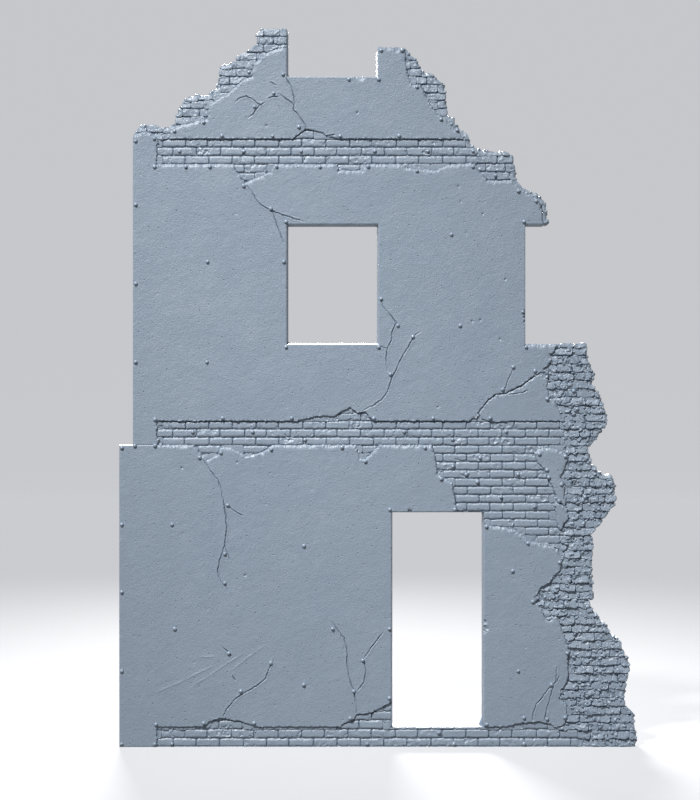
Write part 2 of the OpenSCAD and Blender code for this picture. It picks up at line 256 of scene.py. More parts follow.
def clean_cuts(segments):
    """The segments that are clean edges of the wall: long, and upright or level."""
    starts, ends = segments
    run = np.abs(ends - starts)
    clean = (run.min(axis=1) < 0.01) & (run.max(axis=1) > 3)
    return starts[clean], ends[clean]


def off_flank_and_base(segments):
    """The segments that lie neither on the left flank nor on the base line."""
    starts, ends = segments
    middle = (starts + ends) / 2
    kept = (middle[:, 0] > FLANK_X) & (middle[:, 1] > 1)
    return starts[kept], ends[kept]


# The straight left flank lies left of this
FLANK_X = -60
CORE = outlines("masonry_core")[0]
CORE_SIDES = sides(CORE)
CUT = clean_cuts(CORE_SIDES)
REVEALS = off_flank_and_base(CUT)
# How far a reveal of an opening runs in from the plaster's face to the back
DRAFT = 0.35


def drafted(points, height):
    """Points on the reveals of the openings, moved into the opening by the moulding's draft."""
    starts, ends = REVEALS
    moved = points.copy()
    reach = DRAFT * (PLASTER - height) / (PLASTER + DEPTH)
    for a, b in zip(starts, ends):
        run = (b - a) / np.linalg.norm(b - a)
        away = np.array([run[1], -run[0]])
        on_side = nearest(points, (a[None], b[None]))[0] < 0.02
        moved[on_side] += away * reach
    return moved


# ---- Meshes ----

class Shell:
    """Vertices in mm and faces, gathered for one mesh."""

    def __init__(self):
        self.points, self.faces, self.count = [], [], 0

    def add(self, flat, height):
        """Adds points of the wall's plane at a height over the mortar bed, none of them below the
        floor; returns their numbers."""
        height = np.broadcast_to(height, len(flat))
        self.points.append(np.stack([flat[:, 0], BED - height, np.maximum(flat[:, 1], 0)], axis=1))
        self.count += len(flat)
        return np.arange(self.count - len(flat), self.count)

    def skirt(self, upper, lower):
        """Joins two rings of equal length, the upper one nearer the viewer."""
        u, v = np.roll(upper, -1), np.roll(lower, -1)
        self.faces.extend(np.stack([upper, lower, v, u], axis=1).tolist())

    def cap(self, ring):
        """Closes a ring at the back with one face."""
        self.faces.append(ring[::-1].tolist())

    def dome(self, rings):
        """Adds a closed lump from rings of equal length, each its flat points and their height,
        from the top one down."""
        upper = self.add(*rings[0])
        self.faces.append(upper.tolist())
        for ring in rings[1:]:
            lower = self.add(*ring)
            self.skirt(upper, lower)
            upper = lower
        self.cap(upper)

    def object(self, name, nodes, material, smooth=35):
        """Makes the piece, which stands for the CAD nodes and rides on the one body."""
        mesh = bpy.data.meshes.new(name)
        mesh.from_pydata((np.concatenate(self.points) * MM).tolist(), [], self.faces)
        mesh.materials.append(material)
        mesh.shade_smooth()
        piece = bpy.data.objects.new(name, mesh)
        bpy.context.scene.collection.objects.link(piece)
        mesh.set_sharp_from_angle(angle=math.radians(smooth))
        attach(piece, "root")
        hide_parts(*nodes)
        return piece


def filled(loops, inner):
    """Triangles that fill loops through inner points. Returns the points, the triangles and,
    for each loop, the numbers of its points."""
    given = np.concatenate(loops + [inner]) if len(inner) else np.concatenate(loops)
    rings, first = [], 0
    for loop in loops:
        rings.append(list(range(first, first + len(loop))))
        first += len(loop)
    holes = [(a, b) for ring in rings[1:] for a, b in zip(ring, ring[1:] + ring[:1])]
    result = delaunay_2d_cdt([Vector(p) for p in given], holes, [rings[0]], 1, 1e-5)
    points = np.array([tuple(p) for p in result[0]])
    triangles = np.array(result[2])
    if holes:
        middle = points[triangles].mean(axis=1)
        triangles = triangles[~inside(middle, loops[1:])]
    place = {old: new for new, olds in enumerate(result[3]) for old in olds}
    return points, triangles, [np.array([place[i] for i in ring]) for ring in rings]


# ---- Bricks ----

# step is the spacing of points along an outline and grid the spacing inside it, and ease counts
# the rounds of smoothing of the outline. grow widens a brick into its joint, warp bends its
# outline and fray roughens it. rise, lean and proud shift and tip the face, and rough, lumps,
# chips and groove break it. round is the width of the rounded edge, foot the height where that
# edge ends, and fuse how much of the brick is run together with its neighbours.
LAID = SimpleNamespace(
    ease=2, step=0.3, grid=0.36, grow=0.13, warp=0.12, fray=0.05, rise=0.05, lean=0.014, proud=0.035,
    rough=0.045, lumps=0.0, chips=0.5, round=0.42, groove=0.0, foot=0.04, fuse=0.0
)
WORN = SimpleNamespace(
    ease=5, step=0.22, grid=0.2, grow=0.14, warp=0.2, fray=0.08, rise=0.09, lean=0.04, proud=0.08,
    rough=0.08, lumps=0.12, chips=0.5, round=0.34, groove=0.0, foot=0.0, fuse=0.4
)
BROKEN = SimpleNamespace(
    ease=7, step=0.22, grid=0.17, grow=0.17, warp=0.3, fray=0.12, rise=0.17, lean=0.07, proud=0.15,
    rough=0.075, lumps=0.38, chips=0.6, round=0.3, groove=0.2, foot=0.03, fuse=0.8
)
# Damaged places on laid bricks: x, z and radius
SCARS = [
    (-48.6, 166.6, 2.2), (-6.5, 90.2, 2.6), (-4.2, 165.2, 1.2), (34.6, 90.2, 3.4), (34.6, 85.7, 3.2),
    (-25.2, 86, 1.8), (21.8, 86.2, 1.6), (27.7, 81.2, 1.6), (24.6, 76, 1.4), (18.2, 79.6, 1.2),
    (-42.6, 4.6, 3), (25.6, 1.8, 1.8), (43.8, 82.8, 3), (46, 69.6, 2), (37.6, 63.4, 1.6),
    (-60.2, 89.2, 1.4), (13.6, 166.2, 1.3), (60.2, 3.6, 2.4)
]
SCAR_GRID = 0.2
# Widest slope from a brick's face down to a side at the open air
SLOPE = 1.1
# A side is on a joint where another brick is nearer than this
JOINT_REACH = 1.0
# A narrower brick is run together with its neighbours, and a sliver is left out
NARROW = 1.0
SLIVER = 0.25
TALLEST = PLASTER * 1.06
# Rings down a side that goes through the wall: part of the depth, and part of the slope
SIDE_RINGS = ((0.06, 0.3), (0.25, 0.65), (0.5, 0.85), (0.75, 0.95))
# An end brick is left out where more than this part of it is behind a face brick
COVERED = 0.25


def warped(points, amount):
    """Points carried by a slow wander that neighbouring bricks share."""
    size = 2.6
    drift = np.stack([roughly(points, size, 2, 11.0), roughly(points, size, 2, 29.0)], axis=1)
    return points + drift * amount


def spacing_to_others(loop, outline):
    """Distance from a loop's points to the outlines of the other bricks near it."""
    middle = outline.mean(axis=0)
    others = [other for other in ALL_FACES + ALL_ENDS
              if 0.3 < np.linalg.norm(other.mean(axis=0) - middle) < 8]
    return nearest(loop, sides(others))[0] if others else np.full(len(loop), 9.0)


def crosses_itself(loop):
    """Whether any two sides of a loop cross."""
    a, b = loop, np.roll(loop, -1, axis=0)

    def turn(p, q, r):
        away, other = q - p, r - p
        return away[..., 0] * other[..., 1] - away[..., 1] * other[..., 0]

    apart = turn(a[:, None], b[:, None], a[None]) * turn(a[:, None], b[:, None], b[None])
    return ((apart < 0) & (apart.T < 0)).any()


def untangled(shape, parts):
    """shape(part) for the first part that gives a loop whose sides don't cross, or for the last
    part. Returns that part too."""
    for part in parts:
        loop = shape(part)
        if not crosses_itself(loop):
            break
    return loop, part


def smoothed(loop, fixed, rounds):
    """The loop with its corners rounded, apart from its fixed points."""
    for _ in range(rounds):
        mean = (np.roll(loop, 1, axis=0) + 2 * loop + np.roll(loop, -1, axis=0)) / 4
        loop = np.where(fixed[:, None], loop, mean)
    return loop


def brick_plan(outline, look):
    """A brick's outline as built: loop at the wall's back and rim round its face, and for each of
    their points the outward normal and how far it may move (hold), goes through the wall
    (through), lies at the open air (free) and is run together with a neighbour (fused). None if
    the brick is a sliver."""
    loop = divided(outline, look.step)
    at_cut = nearest(loop, CUT)[0] <= 0.02
    loop = smoothed(loop, at_cut, look.ease)
    hold = np.clip(nearest(loop, CUT)[0] / 1.2, 0, 1)
    hold[at_cut] = 0
    width = 2 * area(loop) / np.linalg.norm(np.roll(loop, -1, axis=0) - loop, axis=1).sum()
    if width < SLIVER:
        return None

    outside = ~inside(loop, CORE)
    through = np.where(outside, np.clip(nearest(loop, CORE_SIDES)[0] / 0.9, 0, 1), 0) * hold
    joint = spacing_to_others(loop, outline) if through.max() > 0 else np.zeros(len(loop))
    free = through * ramp(joint, 0.7, JOINT_REACH)
    fused = look.fuse * ramp(roughly(loop, 2.8, 2, 41.0), 0.15, 0.35)
    if width < NARROW:
        fused[:] = 1
    fused = fused * (1 - free) * hold

    straight = warped(loop, look.warp * hold[:, None])
    normal = outward(straight)
    fray = look.fray * roughly(straight, 0.9, 2, 3.0) * min(1, width) * (1 - 0.75 * free)
    reach = (look.grow + fray + 0.14 * fused) * np.minimum(1, hold * 4)
    loop, _ = untangled(lambda part: straight + normal * (reach * part)[:, None], (1, 0.5, 0))
    upward = 0.62 + 0.38 * normal[:, 1]
    slope = (min(SLOPE, 0.42 * width) * free * upward)[:, None]
    rim, part = untangled(lambda part: loop - normal * (slope * part), (1, 0.6, 0.3, 0.1, 0))
    return SimpleNamespace(
        loop=loop, rim=rim, normal=normal, slope=slope * part, width=width, hold=hold,
        through=through, joint=joint, free=free, fused=fused
    )


def face_points(plan, grid):
    """The points and triangles of a brick's face, and the numbers of the points on its rim."""
    rim = plan.rim
    inner = hexagonal(rim.min(axis=0), rim.max(axis=0), grid)
    for inset in (0.12, 0.26):
        inner = np.concatenate([inner, rim - plan.normal * inset])
    inner = inner[inside(inner, [rim])]
    if len(inner):
        inner = inner[nearest(inner, sides([rim]))[0] > 0.06]
    points, triangles, (edge,) = filled([rim], inner)
    return points, triangles, edge


def face_heights(plan, points, edge, look, scars, luck):
    """Heights of a brick's face: its own tilt, wear and damage, and its rounded edge."""
    from_edge, side = nearest(points, sides([plan.rim]))
    from_edge[edge] = 0
    at_cut = np.zeros(len(points), bool)
    at_cut[edge] = plan.hold < 0.02
    bevel = look.round * min(1, 0.5 + 0.3 * plan.width) * (1 + 0.3 * roughly(points, 0.8, 2, 33.0))
    bevel = bevel * (0.55 + 0.45 * np.abs(plan.normal[:, 1]))[side]
    shape = 1 - (1 - np.clip(from_edge / bevel, 0, 1)) ** 1.3
    shape = np.where(at_cut, 0.9, shape + (1 - shape) * 0.85 * plan.fused[side])

    middle = points.mean(axis=0)
    lean = (points - middle) @ (luck.uniform(-1, 1, 2) * look.lean)
    shingle = -look.proud * luck.uniform(0.3, 1.3) * np.clip((points[:, 1] - middle[1]) / 0.7, -1, 1)
    face = BRICK + luck.uniform(-1, 1) * look.rise + np.clip(lean, -0.15, 0.15) + shingle
    face = face + look.rough * roughly(points, 1.3, 3, 5.0)
    if look.groove and luck.uniform() < 0.4:
        line = np.abs(roughly(points, 2.3, 1, luck.uniform(0, 90)))
        face = face - look.groove * (1 - ramp(line, 0.0, 0.08))
    if look.lumps:
        lump = roughly(points, 1.7, 2, luck.uniform(0, 90))
        face = face + look.lumps * ramp(lump, 0.25, 0.5)
    if luck.uniform() < look.chips:
        bite = roughly(points, 1.5, 3, luck.uniform(0, 90))
        face = face - 0.24 * ramp(bite, 0.2, 0.45) * (1 - 0.4 * ramp(from_edge, 0.3, 0.9))
    for x, z, radius in scars:
        away = np.linalg.norm((points - (x, z)) * (1, 1.6), axis=1) + 0.6 * roughly(points, 1.6, 2, 57.0)
        broken = BRICK * 0.55 + 0.42 * roughly(points, 1.05, 3, 58.0)
        face = face + (broken - face) * (1 - ramp(away, radius * 0.6, radius))
    foot = look.foot + 0.08 * roughly(points, 0.8, 1, 8.0)
    return foot + (np.clip(face, foot + 0.05, TALLEST) - foot) * shape


def through_side(shell, plan, upper, look):
    """The side of a brick that goes through the wall: broken where it is at the open air, and
    swollen with mortar on its joints. Returns the last ring, near the back."""
    mortar = np.where(plan.joint < JOINT_REACH, np.clip(plan.joint / 2 - look.grow + 0.12, 0, 0.5), 0)
    if (plan.free > 0.5).any():
        outer = plan.loop[plan.free > 0.5]
        mortar = mortar * ramp(nearest(plan.loop, dots(outer))[0], 0.05, 0.6)
    bulge = (mortar * plan.through)[:, None]
    for down, out in SIDE_RINGS:
        wobble = roughly(plan.loop + down * 7, 2.0, 2, 60.0) * 0.12 * plan.free
        swell = wobble[:, None] + bulge - plan.slope * (1 - out)
        ring, _ = untangled(lambda part: plan.loop + plan.normal * swell * part, (1, 0.5, 0.2, 0))
        lower = shell.add(ring, -DEPTH * down)
        shell.skirt(upper, lower)
        upper = lower
    return upper


def brick(shell, outline, look, luck, top=None):
    """One brick. Where its outline runs past the core, the brick goes right through the wall. top
    is a plain height for its face."""
    plan = brick_plan(outline, look)
    if plan is None:
        return
    middle = outline.mean(axis=0)
    scars = [scar for scar in SCARS if np.linalg.norm(np.subtract(scar[:2], middle)) < scar[2] + 3]
    grid = min(look.grid, SCAR_GRID) if scars else look.grid
    points, triangles, edge = face_points(plan, grid)
    height = face_heights(plan, points, edge, look, scars, luck)
    if top is not None:
        height = np.full(len(points), top)
    if plan.free.max() > 0:
        air = plan.free > 0.3
        to_air = nearest(points, sides([plan.rim[air]]))[0] if air.sum() > 2 else 9.0
        height = height - 0.25 * (1 - ramp(to_air, 0.0, 0.7))
    tops = shell.add(points, height)
    shell.faces.extend(tops[triangles].tolist())
    upper = tops[edge]
    if plan.through.max() > 0.25:
        upper = through_side(shell, plan, upper, look)
        middle = points.mean(axis=0)
        lower = shell.add(middle + (plan.loop - middle) * 0.96, -DEPTH + luck.uniform(0.06, 0.22))
    else:
        lower = shell.add(plan.loop if plan.through.max() > 0 else plan.rim, -0.12)
    shell.skirt(upper, lower)
    shell.cap(lower)


def crumb(shell, middle, base, size, luck):
    """A lump of broken brick or plaster, stuck to the relief."""
    around, rows = 11, 4
    angles = np.arange(around) * 2 * math.pi / around
    turn = luck.uniform(0, math.pi)
    reach = size * (1 + 0.22 * np.sin(angles * 2 + turn) + luck.uniform(-0.14, 0.14, around))
    stretch = luck.uniform(0.6, 0.95)
    lean = luck.uniform(-0.3, 0.3, 2) * size
    rings = []
    for row in range(rows + 1):
        part = 0.18 + 0.82 * row / rows
        ring = np.stack([np.cos(angles) * reach, np.sin(angles) * reach * stretch], axis=1)
        ring = middle + ring * part ** 0.8 + lean * (1 - part)
        rise = size * 0.85 * (1 - part ** 2.2) + luck.uniform(-0.04, 0.04, around)
        rings.append((ring, base + (rise if row < rows else -0.25)))
    shell.dome(rings)


def brickwork(name, look, ends, material):
    """All the bricks of a node, with the broken ends that have no face brick over them."""
    shell = Shell()
    luck = np.random.RandomState(len(name) * 7 + ord(name[-1]))
    faces = [loops[0] for loops in outlines(name)]
    for outline in faces:
        brick(shell, outline, look, luck)
        if look.groove:
            for _ in range(luck.choice([0, 1, 1, 2])):
                spot = outline[luck.randint(len(outline))] + luck.uniform(-0.4, 0.4, 2)
                if inside(spot[None], CORE)[0] and nearest(spot[None], CORE_SIDES)[0][0] > 0.8:
                    crumb(shell, spot, BRICK * 0.8, luck.uniform(0.25, 0.6), luck)
    for node in ends:
        for loops in outlines(node):
            middle = loops[0].mean(axis=0)[None]
            probes = np.concatenate([middle, middle + (loops[0] - middle) * 0.5])
            if not any(inside(probes, [face]).mean() > COVERED for face in ALL_FACES):
                covered = any(inside(middle, skin)[0] for skin in SKINS.values())
                brick(shell, loops[0], look, luck, -0.02 if covered else BRICK * 0.7)
    return shell.object(name, [name] + ends, material)


# ---- Plaster ----

CRACKS = {
    "plaster_parapet": [
        [(-25.6, 187.2), (-24.8, 185.6), (-24, 184.2), (-23.5, 182.6), (-23.2, 180.6), (-23.3, 179.3)],
        [(-39.8, 180.2), (-38.5, 181.4), (-36.8, 181.9), (-35.2, 181.3), (-33.6, 179.8), (-32.6, 179.4),
         (-31.4, 180.2)],
        [(-33, 179.3), (-34, 178), (-34.8, 176.9), (-36.2, 175.9)],
        [(-30.7, 181.2), (-29.4, 181.7), (-27.6, 181.8)],
        [(-27.6, 182.6), (-26.2, 181.6), (-24.8, 180.7), (-23.3, 179.3), (-23.6, 178.2), (-22.4, 177),
         (-21.2, 175.3), (-20.2, 173.9), (-19.8, 172.7)],
        [(-30, 185.8), (-29.2, 185.4), (-28.2, 185)],
        [(-15.4, 170.6), (-13.4, 171), (-12, 171.1)],
    ],
    "plaster_first_floor": [
        [(-37, 157.4), (-35, 155), (-34, 153), (-32.4, 151.4), (-29.4, 149.7), (-25, 148.2), (-20.3, 146.8)],
        [(-29.4, 149.7), (-28.6, 147.5), (-27.8, 145.2), (-26.2, 141)],
        [(1, 124.7), (1.5, 123.1), (3.5, 120.8), (5.2, 118.6), (4.1, 116.1), (3.8, 113.3), (2.7, 111.3),
         (2.4, 108.2), (2.7, 104.9)],
        [(0.3, 112.2), (2.7, 111.3)],
        [(12.2, 116.3), (9.9, 114.4), (8.5, 111.6), (6.6, 108.5), (4.9, 104.9), (3.8, 102.6), (2.9, 99.3),
         (1.5, 97.3), (-1, 95.6), (-3.8, 94.2), (-4.3, 93.4)],
        [(37.9, 105.4), (36.5, 102.6), (35.7, 100.4), (35.9, 99.2)],
    ],
    "plaster_loose_slab": [[(36.5, 98.5), (38.5, 98.7), (40.5, 99.1), (42.2, 99.7)]],
    "plaster_ground_left": [
        [(-49.7, 82), (-46.9, 77.4), (-44.7, 74.6), (-43.5, 71.8), (-43, 68.2), (-42.4, 64.8), (-42.1, 60.6),
         (-42.7, 56.4), (-44.1, 52.2), (-44.7, 49.4), (-44.1, 46.6), (-42.4, 44.7), (-41.6, 43.3)],
        [(-41.9, 67.3), (-39.9, 65.9), (-37.4, 64.5)],
        [(-42.7, 56.4), (-41.3, 52.2)],
        [(-43.5, 8), (-41.9, 10.8), (-39.6, 13.6), (-36.8, 15.3), (-33.5, 17.2), (-31.2, 19.2), (-30.4, 21.7),
         (-28.7, 24.8)],
        [(-43.5, 28.1), (-40.7, 25.3)],
        [(-40.5, 20), (-39.6, 18.6)],
        [(-13, 35.4), (-11.3, 32.9), (-9.4, 30.4), (-8.5, 27), (-8.5, 22.8), (-7.7, 18.6), (-6.6, 15.8),
         (-6, 11.6), (-5.7, 9)],
        [(-3.8, 24.8), (-3.2, 21.4), (-3.8, 18.1), (-5.5, 15.8)],
        [(-3.8, 24.8), (-1.5, 28.1), (1.8, 32.3)],
    ],
    "plaster_ground_right": [
        [(50.2, 22.5), (50, 20), (49.8, 18), (48.4, 16.8), (47.2, 15.5), (45.8, 13.5), (44.4, 12),
         (43.7, 10), (43.1, 7)],
        [(49.2, 17.2), (48.6, 15), (48, 13), (47.3, 10.5), (46.6, 7)],
        [(50.9, 20), (50.3, 18.8), (49.6, 17.6)],
    ],
    "plaster_island_upper": [],
    "plaster_island_lower": [],
}
# Raised streaks that a tool left in the plaster
STREAKS = {
    "plaster_ground_left": [
        [(-61.7, 15.3), (-55.9, 17.8), (-49.7, 20.9), (-45.5, 22.8)],
        [(-49.7, 25.1), (-45.5, 25.3)],
        [(-52.5, 16.4), (-44, 22), (-37.1, 26.5)],
        [(-40.7, 21.4), (-36, 25.2), (-31.5, 28.4)],
    ],
}
# Chips knocked out of the plaster at an opening: x, z and radius
CHIPS = {
    "plaster_ground_right": [(29.9, 34.9, 0.8), (30, 33.2, 0.9), (29.9, 32.2, 0.6)],
    "plaster_first_floor": [(41.2, 121.6, 0.7), (41.3, 120.2, 0.6), (41.2, 119, 0.5)],
    "plaster_ground_left": [(9.1, 65.9, 0.6)],
    "plaster_parapet": [(-4.6, 187.3, 1.1), (-5.8, 187.5, 0.8), (5.4, 195.2, 0.9)],
}
CRACK_HALF_WIDTH = 0.21
CRACK_DEPTH = 0.42
# Skins nearer than this to each other were one skin that cracked
SEAM_GAP = 1.7
# How far a skin has sunk below the others
SUNK = {"plaster_loose_slab": 0.12}
# Spacing of a skin's points near its features, and how near that is
FINE = 0.17
FINE_REACH = 1.0
# Scattered pits per square millimetre
PITS_PER_AREA = 0.007
# The larger pits in the plaster: x and z
PITS = [
    (-37, 48), (-5.7, 177.3), (-31, 173.7), (29.4, 149), (22.6, 156.7), (34.2, 114), (28.7, 119.3),
    (26.4, 119), (35.7, 130.7), (16.8, 95), (-54.7, 78), (-39.2, 79.6)
]


def polylines(paths, step, wander):
    """Open lines cut into short stretches that wander, with how strong each stretch is."""
    starts, ends, force = [], [], []
    for path in paths:
        path = np.array(path, float)
        line = [path[0]]
        for a, b in zip(path, path[1:]):
            count = max(1, int(np.linalg.norm(b - a) / step))
            line.extend(a + (b - a) * (i + 1) / count for i in range(count))
        line = np.array(line)
        shift = np.stack([roughly(line, 1.1, 3, 71.0), roughly(line, 1.1, 3, 83.0)], axis=1)
        line = line + wander * shift
        part = np.linspace(0, 1, len(line) - 1)
        starts.append(line[:-1])
        ends.append(line[1:])
        force.append((0.35 + 0.65 * np.clip(np.minimum(part, 1 - part) * 6, 0, 1))
                     * (0.8 + 0.35 * roughly(line[:-1], 2.5, 1, 4.0)))
    return (np.concatenate(starts), np.concatenate(ends)), np.concatenate(force)


def skin_edges(name, loops):
    """The loops of a plaster skin with their broken sides made ragged. Also returns, for each
    side, the width of its broken slope, or 0 where it is a clean cut or a seam, and whether
    another skin lies just across a crack from it."""
    ragged, slopes, seams = [], [], []
    others = sides([loop for other, skin in SKINS.items() if other != name for loop in skin])
    for loop in loops:
        points = divided(loop, 0.2)
        middle = (points + np.roll(points, -1, axis=0)) / 2
        clean = nearest(middle, CUT)[0] < 0.03
        seam = (nearest(middle, others)[0] < 0.03) & (middle[:, 0] < FLANK_X)
        whole = clean | seam
        fixed = whole | np.roll(whole, 1)
        normal = outward(points)
        upward = normal[:, 1]
        gap = nearest(points, others)[0]
        jag = 0.16 * roughly(points, 1.9, 3, 17.0) + 0.14 * roughly(points, 0.6, 2, 23.0)
        jag = np.where(gap < SEAM_GAP, 0.35 * jag + 0.4 * gap - 0.1, jag)
        to_fixed = np.ones(len(points))
        if fixed.any():
            to_fixed = np.clip(nearest(points, dots(points[fixed]))[0] / 0.8, 0, 1)
        points = points + normal * ((0.1 + jag) * to_fixed)[:, None]
        slope = np.clip(0.4 + 0.34 * upward + 0.22 * roughly(points, 1.5, 2, 31.0), 0.22, 0.95)
        slope = np.where(gap < SEAM_GAP, 0.2 + 0.35 * np.maximum(upward, 0), slope)
        ragged.append(points)
        slopes.append(np.where(whole, 0, slope))
        seams.append(gap < SEAM_GAP)
    return ragged, np.concatenate(slopes), np.concatenate(seams)


def pits_in(name, loops):
    """Places, sizes and depths of a skin's pits, the larger ones and the scattered ones. A few
    stand up instead, as blisters."""
    luck = np.random.RandomState(len(name) + ord(name[8]))
    larger = np.array(PITS, float)
    larger = larger[inside(larger, loops)]
    count = int(abs(area(loops[0])) * PITS_PER_AREA)
    scattered = luck.uniform(loops[0].min(axis=0), loops[0].max(axis=0), (count, 2))
    size = np.append(np.full(len(larger), 0.24), luck.uniform(0.14, 0.32, count))
    depth = np.append(np.full(len(larger), 0.38), luck.choice([0.12, 0.09, 0.07, -0.05], count))
    return np.concatenate([larger, scattered]), size, depth


def to_features(skin, points):
    """Distance from points to the skin's rims, cracks, streaks or pits, whichever are nearest."""
    reach = nearest(points, skin.rims)[0]
    if skin.cracks:
        reach = np.minimum(reach, nearest(points, skin.cracks[0])[0])
    if skin.streaks:
        reach = np.minimum(reach, nearest(points, skin.streaks[0])[0] + 0.25)
    if len(skin.pits[0]):
        reach = np.minimum(reach, nearest(points, dots(skin.pits[0]))[0] + 0.25)
    return reach


def refined(skin, points, coarse):
    """A lattice of points made finer near the skin's features."""
    seeds = points[to_features(skin, points) < FINE_REACH]
    if not len(seeds):
        return points
    span = np.arange(-coarse, coarse + 1e-6, FINE)
    shift = np.stack(np.meshgrid(span, span), axis=-1).reshape(-1, 2)
    cells = np.unique(np.round((seeds[:, None] + shift).reshape(-1, 2) / FINE), axis=0)
    fine = cells * FINE
    fine[:, 0] += (cells[:, 1] % 2) * FINE / 2
    border = FINE_REACH - coarse * 0.6
    fine = fine[to_features(skin, fine) < border]
    return np.concatenate([points[to_features(skin, points) >= border], fine])


def skin_points(skin):
    """Points and triangles of a skin's face, and for each of its loops the numbers of its points."""
    coarse = 0.55
    inner = hexagonal(skin.loops[0].min(axis=0), skin.loops[0].max(axis=0), coarse)
    inner = refined(skin, inner, coarse)
    if skin.cracks:
        inner = np.concatenate([inner, skin.cracks[0][0]])
    inner = inner[inside(inner, skin.loops)]
    inner = inner[nearest(inner, skin.rims)[0] > 0.07]
    return filled(skin.loops, inner)


def skin_heights(skin, points, border):
    """Heights of a skin's face. border holds the numbers of the points on its rims."""
    from_rim, side = nearest(points, skin.rims)
    from_rim[border] = 0
    slope = skin.slopes[side]
    clean = slope == 0
    drag = np.stack([points @ (0.86, 0.5), points @ (-0.5, 0.86) * 3.5], axis=1)
    height = PLASTER + 0.05 * roughly(points, 14, 2, 2.0) + 0.022 * roughly(points, 2.4, 2, 6.0)
    height += 0.02 * roughly(drag, 5, 3, 15.0) + 0.013 * roughly(points, 1.5, 2, 16.0)

    foot = BRICK * 0.6 + 0.07 * roughly(points, 0.8, 2, 9.0)
    foot = np.where(skin.seams[side], PLASTER - 0.34, foot)
    fall = (1 - np.clip(from_rim / np.where(clean, 1, slope), 0, 1)) ** 1.3
    near_rim = np.exp(-(from_rim / np.where(clean, 1, slope + 0.1)) ** 2)
    crumble = 0.34 * roughly(points, 0.8, 3, 13.0) * near_rim
    height = np.where(clean, height, height - (height - foot) * fall + crumble)
    bend = np.clip(1 - from_rim / 0.28, 0, 1)
    height = np.where(clean, height - 0.12 * bend ** 2, height)

    if skin.cracks:
        gap, which = nearest(points, skin.cracks[0])
        force = skin.cracks[1][which]
        height -= CRACK_DEPTH * force * np.clip(1 - gap / (CRACK_HALF_WIDTH * force ** 0.5), 0, 1)
        height += 0.06 * force * np.exp(-((gap - 0.36) / 0.14) ** 2)
    if skin.streaks:
        gap, which = nearest(points, skin.streaks[0])
        height += 0.1 * skin.streaks[1][which] * np.exp(-(gap / 0.2) ** 2)
    places, size, depth = skin.pits
    if len(places):
        gap, which = nearest(points, dots(places))
        height -= depth[which] * np.exp(-(gap / size[which]) ** 2)
    for x, z, radius in CHIPS.get(skin.name, []):
        gap = np.linalg.norm(points - (x, z), axis=1) + 0.25 * roughly(points, 0.7, 2, 47.0)
        height -= 0.4 * (1 - ramp(gap, radius * 0.55, radius))
    return np.maximum(height - SUNK.get(skin.name, 0), 0.08)


def plaster(name, material):
    """A skin of plaster: broken, sloping edges, clean cut edges at the openings, cracks, chips,
    pits and the slow waves of a trowelled face."""
    loops, slopes, seams = skin_edges(name, SKINS[name])
    skin = SimpleNamespace(
        name=name, loops=loops, rims=sides(loops), slopes=slopes, seams=seams,
        cracks=polylines(CRACKS[name], 0.18, 0.2) if CRACKS[name] else None,
        streaks=polylines(STREAKS[name], 0.4, 0.1) if name in STREAKS else None,
        pits=pits_in(name, loops)
    )
    points, triangles, rings = skin_points(skin)
    height = skin_heights(skin, points, np.concatenate(rings))

    shell = Shell()
    tops = shell.add(points, height)
    shell.faces.extend(tops[triangles].tolist())
    feet = [shell.add(drafted(loop, 0), 0) for loop in loops]
    for ring, foot_ring in zip(rings, feet):
        shell.skirt(tops[ring], foot_ring)
    flat, back, back_rings = filled([drafted(loop, 0) for loop in loops], np.empty((0, 2)))
    number = np.empty(len(flat), int)
    number[np.concatenate(back_rings)] = np.concatenate(feet)
    shell.faces.extend(number[back][:, ::-1].tolist())
    return shell.object(name, [name], material)


# ---- Core ----

def core(material):
    """The slab behind everything: drafted reveals, a rough mortar bed and a plain flat back."""
    shell = Shell()
    loops = [divided(loop, 1.2) for loop in CORE]
    inner = hexagonal(loops[0].min(axis=0), loops[0].max(axis=0), 1.6)
    inner = inner[inside(inner, loops)]
    inner = inner[nearest(inner, sides(loops))[0] > 0.5]
    points, triangles, rings = filled(loops, inner)
    border = np.concatenate(rings)

    bumps = 0.05 * roughly(points, 1.5, 2, 19.0)
    bumps[border] = 0
    front = shell.add(points, bumps - 0.02)
    shell.faces.extend(front[triangles].tolist())
    upper = [front[ring] for ring in rings]
    for part in (0.33, 0.66, 0.95):
        lower = [shell.add(drafted(loop, -DEPTH * part), -DEPTH * part) for loop in loops]
        for ring, below in zip(upper, lower):
            shell.skirt(ring, below)
        upper = lower

    hollows = np.maximum(0.04 - 0.05 * roughly(points, 9, 3, 37.0), 0)
    hollows[border] = 0
    rounding = np.where(points[border][:, 1] > 0.1, 0.12, 0)[:, None]
    flat = drafted(points, -DEPTH)
    flat[border] -= np.concatenate([outward(loop) for loop in loops]) * rounding
    back = shell.add(flat, hollows - DEPTH)
    shell.faces.extend(back[triangles][:, ::-1].tolist())
    for ring, above in zip(rings, upper):
        shell.skirt(above, back[ring])
    return shell.object("masonry_core", ["masonry_core"], material, 50)


# ---- Pips and flash ----

